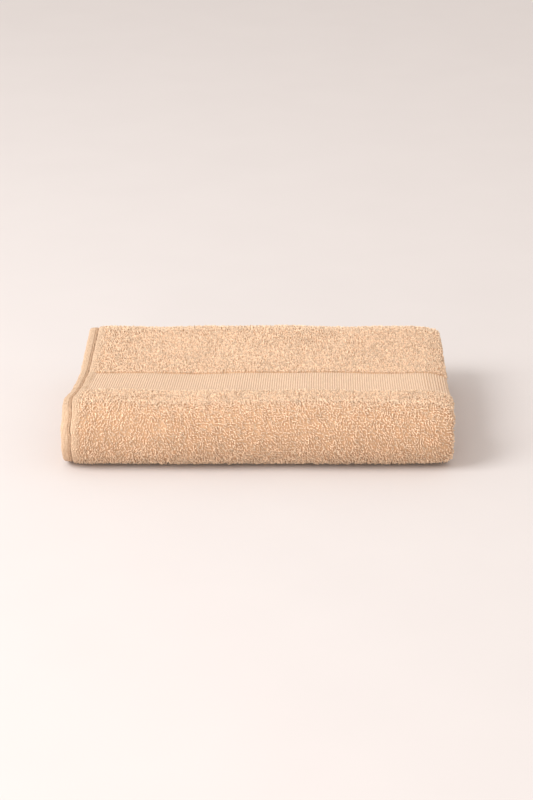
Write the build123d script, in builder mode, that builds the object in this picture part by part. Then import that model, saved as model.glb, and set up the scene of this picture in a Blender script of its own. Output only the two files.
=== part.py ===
"""A terry bath towel, folded for the shelf, in millimetres.

The cloth is doubled across its width, so that each layer of the stack, here called a leaf, is two
plies joined by a round fold on the right, with the two long hems (the selvedges) lying one step
apart on the left. The doubled strip is turned in three along its length: the tail panel lies inside
the middle panel, and both lie inside the cover panel. The pack of three leaves is then bent in half,
which makes the round front. The upper half opens about that bend, like the cover of a book.

X runs along the stack's width, the bend is at the front (-Y), and the stack rests on z = 0, with
the origin below its middle.
"""

from build123d import *
from math import pi
import os

# The cloth, lying flat
towel_length = 1400.0
towel_width = 700.0
ply = 5.0                # height that one ply takes up in the stack
ply_gap = 0.1            # air between plies
end_hem_width = 12.0     # the turned and sewn hem across each end
border_width = 48.0      # the flat woven band across the cloth near each end
border_from_end = 133.0
border_drop = 1.0        # how far the band's faces lie below the loops
hem_drop = 0.45          # how far a hem's faces lie below the loops
thread_width = 0.6
thread_height = 0.4
thread_from_edge = 1.2   # from the seam to the inner edge of its hem

# The fold
selvedge_step = 9.0      # the lower selvedge of a leaf shows this far outside the upper one
short_hem_width = 8.0    # width of the selvedge hem that lies further in
splay = 12.0             # how far the layers spread to the left in the front bend
body_gap = 0.3           # between the two halves, which move apart
tail_clearance = 1.0     # between the tail's end and the fold that it lies in

leaf = 2 * ply
half_height = 3 * leaf + body_gap / 2
height = 2 * half_height

# Where each panel lies, as the distance of its near face from the plane between the halves
near_face = {
    "middle": body_gap / 2,
    "tail": body_gap / 2 + leaf,
    "cover": body_gap / 2 + 2 * leaf,
}
# The ply whose selvedge shows outside the other's changes place at each fold
long_ply = {"middle": "far", "tail": "near", "cover": "near"}

lower_fold_radius = 1.5 * leaf     # joins cover and middle, round the tail's end
upper_fold_radius = leaf           # joins middle and tail

# The six straight runs share what the bends and folds leave of the towel's length. A run ends short
# of the back by the radius of its fold: three runs at the lower fold, the tail's included, and two
# at the upper one.
middle_radii = [near + leaf / 2 for near in near_face.values()]
middle_radii += [lower_fold_radius - leaf / 2, upper_fold_radius - leaf / 2]
run_insets = 3 * lower_fold_radius + tail_clearance + 2 * upper_fold_radius
run = (towel_length - pi * sum(middle_radii) + run_insets) / 6

side_fold_length = pi * ply / 2
stack_width = (towel_width - side_fold_length + selvedge_step) / 2 + ply
total_width = stack_width + splay
total_depth = run + half_height

right = total_width / 2
left = right - stack_width
fold_x = right - ply               # where the round side fold starts
front = -total_depth / 2
back = total_depth / 2
hinge_y = front + half_height
hinge_z = half_height
run_front = hinge_y + body_gap / 2
lower_fold_y = back - lower_fold_radius
upper_fold_y = back - upper_fold_radius
tail_end_y = lower_fold_y - tail_clearance

# The splay is full where the two plies of the cover meet, furthest forward
splay_depth = near_face["cover"] + ply + ply_gap / 2

# Left and right edge of the selvedge hem on the long and the short ply
selvedge = {
    "long": (left, left + selvedge_step),
    "short": (left + selvedge_step, left + selvedge_step + short_hem_width),
}

bend_axis = Axis((0, hinge_y, hinge_z), (1, 0, 0))

os.makedirs("parts", exist_ok=True)


def save(part, name):
    """Label a finished piece and write its file"""
    part.label = name
    export_step(part, f"parts/{name}.step")
    size = part.bounding_box().size
    print(f"{name:28s} {size.X:7.1f} {size.Y:7.1f} {size.Z:6.1f} mm, {len(part.solids())} solid(s)")


def half_plane(half, y):
    """A plane across the stack whose own Y is the distance from the plane between the halves"""
    facing = (0, -1, 0) if half == "upper" else (0, 1, 0)
    return Plane(origin=(0, y, hinge_z), x_dir=(1, 0, 0), z_dir=facing)


def run_plane(half, rear, ahead):
    """The plane from which a run is extruded, and the length of the run"""
    start = rear if half == "upper" else ahead
    return half_plane(half, start), rear - ahead


def ply_spans(base, drop):
    """Near and far limits of the two plies of a leaf whose near face is at base"""
    return {
        "near": (base + ply_gap + drop, base + ply - drop),
        "far": (base + ply + ply_gap + drop, base + leaf - drop),
    }


def ply_ends(longer):
    """Where the cloth of each ply stops and its selvedge hem begins"""
    shorter = "far" if longer == "near" else "near"
    return {longer: selvedge["long"][1], shorter: selvedge["short"][1]}


def doubled_cloth(plane, base, longer, drop=0.0):
    """The U-shaped section of a leaf: two plies and the round fold on the right"""
    spans = ply_spans(base, drop)
    ends = ply_ends(longer)
    (near_low, near_high), (far_low, far_high) = spans["near"], spans["far"]
    middle = (near_low + far_high) / 2
    with BuildSketch(plane) as section:
        with BuildLine():
            Line((ends["far"], far_high), (fold_x, far_high))
            ThreePointArc(
                (fold_x, far_high),
                (fold_x + (far_high - near_low) / 2, middle),
                (fold_x, near_low),
            )
            Polyline(
                (fold_x, near_low),
                (ends["near"], near_low),
                (ends["near"], near_high),
                (fold_x, near_high),
            )
            ThreePointArc(
                (fold_x, near_high),
                (fold_x + (far_low - near_high) / 2, middle),
                (fold_x, far_low),
            )
            Polyline((fold_x, far_low), (ends["far"], far_low), (ends["far"], far_high))
        make_face()
    return section.sketch


def hem_boxes(base, longer):
    """Left, right, near and far limits of a leaf's two selvedge hems"""
    spans = ply_spans(base, hem_drop)
    shorter = "far" if longer == "near" else "near"
    return [(*selvedge["long"], *spans[longer]), (*selvedge["short"], *spans[shorter])]


def thread_boxes(base, longer):
    """Limits of the seam threads on both faces of a leaf's two selvedge hems"""
    boxes = []
    for _, edge, near, far in hem_boxes(base, longer):
        x = edge - thread_from_edge - thread_width
        boxes.append((x, x + thread_width, far, far + thread_height))
        boxes.append((x, x + thread_width, near - thread_height, near))
    return boxes


def box_sections(plane, boxes):
    """Rectangles, given by their limits, in one sketch"""
    with BuildSketch(plane) as section:
        for x_low, x_high, low, high in boxes:
            with Locations(((x_low + x_high) / 2, (low + high) / 2)):
                Rectangle(x_high - x_low, high - low)
    return section.sketch


def straight(section, plane, length):
    """A section drawn out along the run, away from its plane"""
    with BuildPart() as piece:
        extrude(section, amount=length, dir=plane.z_dir)
    return piece.part


def turned(section, axis):
    """A section turned half round an axis"""
    with BuildPart() as piece:
        revolve(section, axis=axis, revolution_arc=180)
    return piece.part


def bend_strip(x_low, x_high, near, far, splay_right=True):
    """A strip of the front bend between two radii, its left edge splayed outwards"""
    full_y = hinge_y - splay_depth
    x_full = x_low - splay
    x_high_full = x_high - splay
    with BuildPart() as strip:
        with BuildSketch(half_plane("upper", hinge_y)):
            with Locations(((x_full + x_high) / 2, (near + far) / 2)):
                Rectangle(x_high - x_full, far - near)
        revolve(axis=bend_axis, revolution_arc=180)
        with BuildSketch(Plane.XY):
            with BuildLine():
                EllipticalCenterArc((x_low, full_y), splay, splay_depth, 90, arc_size=90)
                if splay_right:
                    Polyline((x_full, full_y), (x_full, front), (x_high_full, front), (x_high_full, full_y))
                    EllipticalCenterArc((x_high, full_y), splay, splay_depth, 90, arc_size=90)
                else:
                    Polyline((x_full, full_y), (x_full, front), (x_high, front), (x_high, hinge_y))
                Line((x_high, hinge_y), (x_low, hinge_y))
            make_face()
        extrude(amount=height, mode=Mode.INTERSECT)
    return strip.part


def bend_cloth(base, longer):
    """The doubled cloth of one leaf in the front bend"""
    spans = ply_spans(base, 0)
    ends = ply_ends(longer)
    plies = [bend_strip(ends[side], fold_x, *spans[side], splay_right=False) for side in spans]
    (near_low, near_high), (far_low, far_high) = spans["near"], spans["far"]
    middle = (near_low + far_high) / 2
    with BuildSketch(half_plane("upper", hinge_y)) as fold:
        with Locations((fold_x, middle)):
            Circle((far_high - near_low) / 2)
            Circle((far_low - near_high) / 2, mode=Mode.SUBTRACT)
        with Locations((fold_x - leaf, middle)):
            Rectangle(2 * leaf, 2 * leaf, mode=Mode.SUBTRACT)
    with BuildPart() as cloth:
        revolve(fold.sketch, axis=bend_axis, revolution_arc=180)
        add(plies)
    return cloth.part


# Straight runs: panel, half, rear end, front end, how far the faces lie below the loops, and name
border_rear = back - border_from_end
border_front = border_rear - border_width
tail_border_rear = tail_end_y - border_from_end
tail_border_front = tail_border_rear - border_width
cloth_runs = [
    ("cover", "upper", back - end_hem_width, border_rear, 0, "cover_upper_rear_terry"),
    ("cover", "upper", border_rear, border_front, border_drop, "cover_border"),
    ("cover", "upper", border_front, run_front, 0, "cover_upper_front_terry"),
    ("cover", "upper", back, back - end_hem_width, hem_drop, "cover_end_hem"),
    ("cover", "lower", lower_fold_y, run_front, 0, "cover_lower_terry"),
    ("middle", "lower", lower_fold_y, run_front, 0, "middle_lower_terry"),
    ("middle", "upper", upper_fold_y, run_front, 0, "middle_upper_terry"),
    ("tail", "upper", upper_fold_y, run_front, 0, "tail_upper_terry"),
    ("tail", "lower", tail_border_front, run_front, 0, "tail_lower_front_terry"),
    ("tail", "lower", tail_border_rear, tail_border_front, border_drop, "tail_border"),
    ("tail", "lower", tail_end_y - end_hem_width, tail_border_rear, 0, "tail_lower_rear_terry"),
    ("tail", "lower", tail_end_y, tail_end_y - end_hem_width, hem_drop, "tail_end_hem"),
]
for panel, half, rear, ahead, drop, name in cloth_runs:
    plane, length = run_plane(half, rear, ahead)
    section = doubled_cloth(plane, near_face[panel], long_ply[panel], drop)
    save(straight(section, plane, length), name)

# Selvedge hems of the straight runs, two to a leaf, and the threads that sew them down
run_rear = {
    ("cover", "upper"): back,
    ("cover", "lower"): lower_fold_y,
    ("middle", "lower"): lower_fold_y,
    ("middle", "upper"): upper_fold_y,
    ("tail", "upper"): upper_fold_y,
    ("tail", "lower"): tail_end_y,
}
threads = {"upper": [], "lower": []}
for (panel, half), rear in run_rear.items():
    plane, length = run_plane(half, rear, run_front)
    base, longer = near_face[panel], long_ply[panel]
    hems = box_sections(plane, hem_boxes(base, longer))
    save(straight(hems, plane, length), f"{panel}_{half}_selvedges")
    seams = box_sections(plane, thread_boxes(base, longer))
    threads[half].append(straight(seams, plane, length))

# The two rear folds: where the axis lies, and the inner radius of the cloth. In both of them the
# ply with the long selvedge is the inner one.
rear_folds = {
    "lower": (lower_fold_y, hinge_z - near_face["middle"] - lower_fold_radius, lower_fold_radius - leaf),
    "upper": (upper_fold_y, hinge_z + near_face["middle"] + upper_fold_radius, 0),
}
for half, (y, z, inner) in rear_folds.items():
    plane = Plane(origin=(0, y, z), x_dir=(1, 0, 0), z_dir=(0, -1, 0))
    axis = Axis((0, y, z), (-1, 0, 0))
    save(turned(doubled_cloth(plane, inner, "near"), axis), f"{half}_rear_fold_terry")
    save(turned(box_sections(plane, hem_boxes(inner, "near")), axis), f"{half}_rear_fold_selvedges")
    threads[half].append(turned(box_sections(plane, thread_boxes(inner, "near")), axis))

for half, pieces in threads.items():
    with BuildPart() as seam:
        add(pieces)
    save(seam.part, f"{half}_selvedge_threads")

# The front bend, leaf by leaf
bend_threads = []
for panel, base in near_face.items():
    longer = long_ply[panel]
    save(bend_cloth(base, longer), f"{panel}_bend_terry")
    hems = [bend_strip(*box) for box in hem_boxes(base, longer)]
    with BuildPart() as bend_hems:
        add(hems)
    save(bend_hems.part, f"{panel}_bend_selvedges")
    bend_threads += [bend_strip(*box) for box in thread_boxes(base, longer)]
with BuildPart() as bend_seams:
    add(bend_threads)
save(bend_seams.part, "bend_selvedge_threads")

# The seams of the end hems run across the cloth on both faces of each ply
for panel, half, end in (("cover", "upper", back), ("tail", "lower", tail_end_y)):
    spans = ply_spans(near_face[panel], hem_drop)
    ends = ply_ends(long_ply[panel])
    ahead = end - end_hem_width + thread_from_edge
    seam_boxes = []
    for side, (near, far) in spans.items():
        seam_boxes.append((ends[side], fold_x, far, far + thread_height))
        seam_boxes.append((ends[side], fold_x, near - thread_height, near))
    plane, length = run_plane(half, ahead + thread_width, ahead)
    save(straight(box_sections(plane, seam_boxes), plane, length), f"{panel}_end_hem_threads")

print(f"straight run {run:.1f}, stack {stack_width:.1f} wide")
print(f"whole part {total_width:.2f} x {total_depth:.2f} x {height:.2f}")
print(f"hinge at y {hinge_y:.3f}, z {hinge_z:.3f}")
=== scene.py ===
# %% [markdown]
# # A folded bath towel
#
# A bath towel is one woven cloth. Loops of soft yarn stand on both faces, a flat band without loops
# crosses it near each end, and all four edges are turned and sewn. This one is doubled across its
# width, turned in three along its length and bent in half, so twelve plies lie on each other.
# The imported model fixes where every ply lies. Here each ply gets its cloth, loops, hems and stitches.

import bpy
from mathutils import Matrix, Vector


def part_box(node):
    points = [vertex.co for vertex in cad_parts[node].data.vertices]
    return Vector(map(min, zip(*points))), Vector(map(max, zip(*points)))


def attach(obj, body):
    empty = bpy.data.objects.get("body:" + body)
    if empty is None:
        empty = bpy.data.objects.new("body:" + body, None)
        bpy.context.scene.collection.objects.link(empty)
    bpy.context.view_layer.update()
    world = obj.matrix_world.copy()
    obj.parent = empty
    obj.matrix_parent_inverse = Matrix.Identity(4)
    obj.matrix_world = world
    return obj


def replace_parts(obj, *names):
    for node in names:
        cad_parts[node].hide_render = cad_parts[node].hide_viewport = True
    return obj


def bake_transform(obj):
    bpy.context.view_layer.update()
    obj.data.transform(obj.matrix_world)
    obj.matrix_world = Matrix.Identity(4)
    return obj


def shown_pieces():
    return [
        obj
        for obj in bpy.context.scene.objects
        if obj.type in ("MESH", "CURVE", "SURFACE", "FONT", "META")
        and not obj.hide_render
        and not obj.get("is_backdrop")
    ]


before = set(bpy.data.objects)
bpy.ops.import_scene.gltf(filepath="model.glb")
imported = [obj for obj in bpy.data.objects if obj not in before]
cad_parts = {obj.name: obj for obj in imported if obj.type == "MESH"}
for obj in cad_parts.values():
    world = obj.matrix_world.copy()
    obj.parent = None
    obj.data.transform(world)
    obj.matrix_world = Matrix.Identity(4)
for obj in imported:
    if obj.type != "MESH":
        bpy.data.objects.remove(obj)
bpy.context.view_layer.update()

# %% Libraries and units
import math

import bmesh
import bpy
import numpy as np

MM = 0.001
LOWER = "bottom_half"
UPPER = "top_half"

# %% [markdown]
# ## Where the towel lies
#
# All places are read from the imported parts. The two halves of the stack meet in a level plane at
# half height, and the front bend turns round a line in it. A ply's distance from that plane is
# called its level here, so that one description serves the upper half, the bend and the lower half.

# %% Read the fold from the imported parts
PLY = 5 * MM
LEAF = 2 * PLY
PLY_GAP = 0.1 * MM
HEM_STEP = 9 * MM      # the long selvedge shows this far outside the short one
HEM_WIDTH = 8 * MM     # the short selvedge's own hem


def span(node, axis):
    """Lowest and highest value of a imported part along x, y or z"""
    low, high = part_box(node)
    return getattr(low, axis), getattr(high, axis)


LEFT = span("cover_upper_selvedges", "x")[0]
RIGHT = span("cover_upper_rear_terry", "x")[1]
BACK = span("cover_end_hem", "y")[1]
FOLD_X = RIGHT - PLY
HINGE_Y = span("cover_bend_terry", "y")[1]
HINGE_Z = (span("middle_upper_terry", "z")[0] + span("middle_lower_terry", "z")[1]) / 2
FIRST_PLY = {"middle": "middle_upper_terry", "tail": "tail_upper_terry", "cover": "cover_upper_rear_terry"}
LEVEL = {panel: span(node, "z")[0] - PLY_GAP - HINGE_Z for panel, node in FIRST_PLY.items()}
LONG_PLY = {"middle": "far", "tail": "near", "cover": "near"}
HEIGHT = 2 * HINGE_Z
print("left", LEFT, "right", RIGHT, "hinge", HINGE_Y, HINGE_Z, "levels", LEVEL)

# %% [markdown]
# ## How soft cloth settles
#
# A real stack isn't a block. Its plies spread sideways in the front bend, sag towards the folded
# edge and wave a little. All pieces are first worked out on the plain fold, and one function then
# moves their points. Since every piece goes through it, cloth, hems and stitches stay together.

# %% The settling of the stack
SPLAY = 4.5 * MM             # plies spread this far to the left towards the front bend,
SPLAY_AT_BEND = 6.5 * MM     # and this much further close to it
WIDENING = 0.8 * MM          # and a little at the back
BULGE = 4 * MM               # the folded edge on the right is pressed out
RIPPLE = 0.8 * MM
WAVE = 0.9 * MM
CROWN = 1.2 * MM             # the top swells over the bend and dips in the band
BAND_MIDDLE = 55 * MM        # behind the hinge line


def ramp(value, start, end):
    """A smooth step from 0 at start to 1 at end"""
    t = np.clip((value - start) / (end - start), 0, 1)
    return t * t * (3 - 2 * t)


def settle(points):
    """Where points of the plain fold lie in the soft stack"""
    x, y, z = np.array(points, float).T
    behind = y - HINGE_Y
    share = (x - LEFT) / (RIGHT - LEFT)
    height = z / HEIGHT

    spread = SPLAY * ramp(behind, 92 * MM, 35 * MM) + SPLAY_AT_BEND * ramp(behind, 45 * MM, 4 * MM)
    to_right = np.clip((x - RIGHT + 22 * MM) / (22 * MM), 0, 1)
    to_left = np.clip((LEFT + 14 * MM - x) / (14 * MM), 0, 1)
    to_back = np.clip((y - BACK + 9 * MM) / (9 * MM), 0, 1)
    in_band = np.exp(-((behind - BAND_MIDDLE) / (20 * MM)) ** 2)
    on_roll = np.exp(-((behind - 8 * MM) / (16 * MM)) ** 2)
    sag = to_right ** 2 * (0.12 + 0.07 * height + 0.07 * in_band * height)
    sag = sag + 0.05 * to_left ** 2 + 0.04 * to_back ** 2
    widening = WIDENING * to_left * ramp(behind, 120 * MM, 210 * MM)
    bulge = BULGE * to_right * ramp(behind, -5 * MM, 25 * MM) * height
    wave = 0.6 * np.sin(34 * x + 9 * y + 0.5) + 0.4 * np.sin(71 * x - 26 * y + 2.1)
    wave = wave + 0.35 * np.sin(58 * y + 13 * x + 1.0)
    ripple = RIPPLE * np.sin(300 * z + 21 * y + 0.7) * height
    in_bend = np.clip(-behind / HINGE_Z, 0, 1)

    new_x = x - widening + bulge - spread * (1 - 1.2 * share) + ripple
    new_y = y + np.where(behind < 0, -behind * sag, 0) + 0.7 * MM * in_bend * np.sin(43 * x + 1.0)
    new_z = HINGE_Z + (z - HINGE_Z) * (1 - sag) + WAVE * height * wave
    new_z = new_z + CROWN * height ** 2 * (on_roll - 0.6 * in_band)
    return np.stack([new_x, new_y, new_z], axis=-1)


print("a corner moves by", settle([[RIGHT, HINGE_Y, HEIGHT]])[0] - np.array([RIGHT, HINGE_Y, HEIGHT]))

# %% [markdown]
# ## Building node trees
#
# Materials and repeated parts are node trees. A node's inputs are listed with it here. Each gets
# a value, or a link from an output socket, or from a node, which stands for its first output.


# %% Helpers for objects and node trees
def add_object(name, data):
    """A new object in the scene"""
    made = bpy.data.objects.new(name, data)
    bpy.context.scene.collection.objects.link(made)
    return made


def feed(tree, node, inputs):
    """Give each input of a node its value, or a link from the node or socket that feeds it"""
    for label, value in inputs.items():
        if isinstance(value, bpy.types.Node):
            value = value.outputs[0]
        if isinstance(value, bpy.types.NodeSocket):
            tree.links.new(value, node.inputs[label])
        else:
            node.inputs[label].default_value = value


def add_node(tree, kind, inputs=None, **settings):
    """A node with its settings and what feeds its inputs"""
    node = tree.nodes.new(kind)
    for label, value in settings.items():
        setattr(node, label, value)
    feed(tree, node, inputs or {})
    return node


def calculate(tree, operation, *values, **settings):
    """The result of a math node on numbers or sockets"""
    inputs = dict(enumerate(values))
    return add_node(tree, "ShaderNodeMath", inputs, operation=operation, **settings).outputs[0]


def new_group(name, tree_kind, inputs, outputs):
    """A node group. An input is given as its default value or, without one, as its socket type"""
    group = bpy.data.node_groups.new(name, tree_kind)
    kinds = {float: "NodeSocketFloat", int: "NodeSocketInt", tuple: "NodeSocketColor"}
    for label, value in inputs.items():
        if isinstance(value, str):
            group.interface.new_socket(label, in_out="INPUT", socket_type=value)
        else:
            socket = group.interface.new_socket(label, in_out="INPUT", socket_type=kinds[type(value)])
            socket.default_value = value
    for label, kind in outputs.items():
        group.interface.new_socket(label, in_out="OUTPUT", socket_type=kind)
    given = group.nodes.new("NodeGroupInput").outputs
    result = group.nodes.new("NodeGroupOutput").inputs
    return group, given, result


def new_material(name):
    """A node material with its tree and its Principled shader"""
    material = bpy.data.materials.new(name)
    material.use_nodes = True
    return material, material.node_tree, material.node_tree.nodes["Principled BSDF"]

# %% [markdown]
# ## Floor, light and camera
#
# A pale seamless floor. One large soft light stands high on the left and makes the long soft
# shadow. A small one, low in front, brings out the relief of the loops on the front bend. A bright
# even surrounding fills the shadows. The camera stands in front, a little above, far away.

# %% Floor
FLOOR_HALF = 7.0
FLOOR_DARK = (0.705, 0.655, 0.636, 1)
FLOOR_LIGHT = (0.730, 0.680, 0.660, 1)


def build_floor():
    """A large plain floor under the towel"""
    mesh = bpy.data.meshes.new("floor")
    corners = [(x * FLOOR_HALF, y * FLOOR_HALF, 0) for x, y in ((-1, -1), (1, -1), (1, 1), (-1, 1))]
    mesh.from_pydata(corners, [], [(0, 1, 2, 3)])
    material, tree, shader = new_material("pale floor")
    place = add_node(tree, "ShaderNodeTexCoord")
    grain = add_node(tree, "ShaderNodeTexNoise", {"Vector": place.outputs["Object"], "Scale": 9})
    tint = add_node(tree, "ShaderNodeValToRGB", {"Fac": grain.outputs["Fac"]})
    tint.color_ramp.elements[0].color = FLOOR_DARK
    tint.color_ramp.elements[1].color = FLOOR_LIGHT
    feed(tree, shader, {"Base Color": tint.outputs["Color"], "Roughness": 0.9, "Specular IOR Level": 0.2})
    mesh.materials.append(material)
    add_object("floor", mesh)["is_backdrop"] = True


build_floor()
print("floor built")

# %% Light
LIGHTS = {
    "key": {"place": (-2.25, -1.05, 2.05), "target": (0.05, -0.02, 0.0), "size": 1.8, "power": 83,
            "colour": (0.965, 0.985, 1.0)},
    "front fill": {"place": (-0.7, -2.4, 0.4), "target": (0.0, -0.1, 0.02), "size": 0.4, "power": 9,
                   "colour": (1.0, 0.96, 0.93)},
}
SURROUNDING = {"Color": (1.0, 0.947, 0.908, 1), "Strength": 0.85}
for name, wanted in LIGHTS.items():
    lamp = bpy.data.lights.new(name, "AREA")
    lamp.shape = "SQUARE"
    lamp.size = wanted["size"]
    lamp.energy = wanted["power"]
    lamp.color = wanted["colour"]
    light = add_object(name, lamp)
    light.location = wanted["place"]
    facing = Vector(wanted["target"]) - Vector(wanted["place"])
    light.rotation_euler = facing.to_track_quat("-Z", "Y").to_euler()
world = bpy.data.worlds.new("studio")
world.use_nodes = True
feed(world.node_tree, world.node_tree.nodes["Background"], SURROUNDING)
bpy.context.scene.world = world
bpy.context.scene.view_settings.view_transform = "Standard"
print("lights", list(LIGHTS))

# %% Camera
CAMERA_BACK = 2012 * MM      # in front of the hinge line
CAMERA_UP = 868 * MM
CAMERA_TILT = 21.83          # degrees below level
camera = add_object("camera", bpy.data.cameras.new("camera"))
camera.data.sensor_width = 36
camera.data.lens = 103.5
camera.location = (10 * MM, HINGE_Y - CAMERA_BACK, CAMERA_UP)
camera.rotation_euler = (math.radians(90 - CAMERA_TILT), 0, 0)
bpy.context.scene.camera = camera
print("camera at", tuple(camera.location))

# %% [markdown]
# ## Shader groups for cotton
#
# Two effects are shared. Dyed cotton is never one colour: it varies in soft patches, and from yarn
# to yarn; the same group also mixes a dark and a light colour by a depth, which paints shade low in
# the pile and in the hollows of the weave. Woven ground shows over and under crossings, with uneven
# streaks along its yarns. Each is a node group, so a material only has to give its own sizes and
# strengths.


# %% Dyed cotton: patches, yarn tones and painted shade by depth
def dyed_and_shaded_cotton_group():
    """Colour that varies in soft patches and by a shade value of each yarn, mixed from Dark to Light
    by Depth, which paints shade low in the pile and in the hollows of the weave
    """
    group, given, result = new_group("dyed and shaded cotton", "ShaderNodeTree", {
        "Dark": (0.6, 0.4, 0.3, 1),
        "Light": (0.8, 0.6, 0.4, 1),
        "Depth": 0.5,
        "Shade": 0.5,
        "Shade Variation": 0.1,
        "Patch Scale": 40.0,
        "Patch Variation": 0.08,
    }, {"Color": "NodeSocketColor"})
    # Dark at Depth 0 and Light at 1: painted shade, deepest low in the pile or the weave
    mixed = add_node(group, "ShaderNodeMix", {
        "Factor": given["Depth"], 6: given["Dark"], 7: given["Light"],
    }, data_type="RGBA")
    place = add_node(group, "ShaderNodeTexCoord")
    patches = add_node(group, "ShaderNodeTexNoise", {
        "Vector": place.outputs["Object"], "Scale": given["Patch Scale"], "Detail": 2.0,
    })

    def swing(value, strength):
        """1 plus strength times (value - 0.5)"""
        centred = calculate(group, "SUBTRACT", value, 0.5)
        return calculate(group, "MULTIPLY_ADD", centred, strength, 1)

    by_patch = swing(patches.outputs["Fac"], given["Patch Variation"])
    by_shade = swing(given["Shade"], given["Shade Variation"])
    both = calculate(group, "MULTIPLY", by_patch, by_shade)
    final = add_node(group, "ShaderNodeVectorMath", {0: mixed.outputs[2], "Scale": both}, operation="SCALE")
    group.links.new(final.outputs[0], result["Color"])
    return group


DYED_AND_SHADED_COTTON = dyed_and_shaded_cotton_group()
print("group", DYED_AND_SHADED_COTTON.name)


# %% Woven ground: ribs and crossings that follow the cloth
def woven_group():
    """Height of a weave whose coordinates are metres across and along the cloth"""
    group, given, result = new_group("woven", "ShaderNodeTree", {
        "Lie": "NodeSocketVector",
        "Across Pitch": 0.001,
        "Along Pitch": 0.001,
        "Unevenness": 0.6,
        "Streaks": 0.0,
    }, {"Height": "NodeSocketFloat"})
    streak_shape = (1, 0.14, 1)
    stretched = add_node(group, "ShaderNodeVectorMath", {
        0: given["Lie"], 1: streak_shape,
    }, operation="MULTIPLY")
    noise = add_node(group, "ShaderNodeTexNoise", {
        "Vector": stretched, "Scale": 1300.0, "Detail": 2.0,
    })
    uneven = noise.outputs["Fac"]
    streak = add_node(group, "ShaderNodeMapRange", {"Value": uneven, "From Min": 0.32, "From Max": 0.68})
    wobble = calculate(group, "MULTIPLY", uneven, given["Unevenness"])
    axes = add_node(group, "ShaderNodeSeparateXYZ", {0: given["Lie"]})

    def ribs(axis, pitch):
        """A sine wave with one crest for each pitch"""
        turns = calculate(group, "DIVIDE", axes.outputs[axis], given[pitch])
        angle = calculate(group, "MULTIPLY_ADD", turns, 2 * math.pi, wobble)
        return calculate(group, "SINE", angle)

    crossing = calculate(group, "ADD", ribs("X", "Across Pitch"), ribs("Y", "Along Pitch"))
    level = calculate(group, "MULTIPLY_ADD", crossing, 0.25, 0.5)
    blended = add_node(group, "ShaderNodeMix", {
        "Factor": given["Streaks"], 2: level, 3: streak.outputs["Result"],
    }, data_type="FLOAT")
    group.links.new(blended.outputs[0], result["Height"])
    return group


WOVEN = woven_group()
print("group", WOVEN.name)

# %% [markdown]
# ## Finishes
#
# All the cloth is dyed in one warm peach. The loops are painted lightest at their tips, as if lit
# through, and darker towards their roots, and the ground between them darker still: painted shade
# deep in the pile. Woven parts are painted darker in the hollows of their weave, also as shade.
# Matt cotton has a soft sheen and no gloss.

# %% Materials
# The loops' colour at their tips, and the darker colour painted at their roots and on the ground between
# them as shade deep in the pile
TIP = (0.96, 0.745, 0.545, 1)
ROOT_SHADE = (0.64, 0.40, 0.245, 1)
PATCHINESS = 0.07
MATT = {
    "Roughness": 0.92, "Specular IOR Level": 0.15,
    "Sheen Weight": 0.15, "Sheen Roughness": 0.5, "Sheen Tint": (1.0, 0.82, 0.66, 1),
}


def cotton(name, dark, light, depth=None, shade=None, yarn=0.12, weave=None, bump=0.3):
    """A matt cotton finish. depth and shade name attributes; depth paints the colour from dark to
    light, as shade low in the pile. weave is the pitch across and along the cloth and the share of
    streaks, and the weave's hollows are painted dark, as shade"""
    material, tree, shader = new_material(name)
    colour = add_node(tree, "ShaderNodeGroup", {
        "Dark": dark, "Light": light, "Shade Variation": yarn, "Patch Variation": PATCHINESS,
    }, node_tree=DYED_AND_SHADED_COTTON)
    for attribute, socket in ((depth, "Depth"), (shade, "Shade")):
        if attribute:
            read = add_node(tree, "ShaderNodeAttribute", attribute_name=attribute)
            feed(tree, colour, {socket: read.outputs["Fac"]})
    if weave:
        lie = add_node(tree, "ShaderNodeAttribute", attribute_name="lie")
        woven = add_node(tree, "ShaderNodeGroup", {
            "Lie": lie.outputs["Vector"],
            "Across Pitch": weave[0], "Along Pitch": weave[1], "Streaks": weave[2],
        }, node_tree=WOVEN)
        height = woven.outputs["Height"]
        # The weave's hollows are painted in the dark colour: painted shade
        feed(tree, colour, {"Depth": height})
    else:
        place = add_node(tree, "ShaderNodeTexCoord")
        fibres = add_node(tree, "ShaderNodeTexNoise", {
            "Vector": place.outputs["Object"], "Scale": 1500.0, "Detail": 2.0,
        })
        height = fibres.outputs["Fac"]
    relief = add_node(tree, "ShaderNodeBump", {"Strength": bump, "Distance": 0.5 * MM, "Height": height})
    feed(tree, shader, {"Normal": relief.outputs["Normal"], "Base Color": colour.outputs["Color"], **MATT})
    return material


PLAIN_WEAVE = (1.1 * MM, 0.9 * MM, 0.2)
HEM_WEAVE = (1.0 * MM, 1.6 * MM, 0.7)
FINISH = {
    # The ground between the loops is painted darker, as shade deep in the pile
    "ground": cotton("terry ground in painted shade", ROOT_SHADE, (0.76, 0.51, 0.32, 1), weave=PLAIN_WEAVE),
    # Loops are painted darker from tip to root by their rise, as shade deep in the pile
    "loops": cotton("terry loops with painted shade", ROOT_SHADE, TIP, depth="rise", shade="shade", yarn=0.42, bump=0.2),
    "band": cotton("flat band", (0.62, 0.42, 0.28, 1), (0.74, 0.54, 0.38, 1), weave=PLAIN_WEAVE),
    "floats": cotton("band yarns", (0.72, 0.53, 0.385, 1), (0.82, 0.635, 0.48, 1), shade="shade"),
    "hem": cotton("hem weave", (0.50, 0.32, 0.195, 1), (0.79, 0.57, 0.40, 1), weave=HEM_WEAVE, bump=0.9),
    "thread": cotton("sewing thread", (0.72, 0.49, 0.32, 1), (0.84, 0.62, 0.44, 1), shade="shade"),
}
print("finishes", sorted(FINISH))

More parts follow.
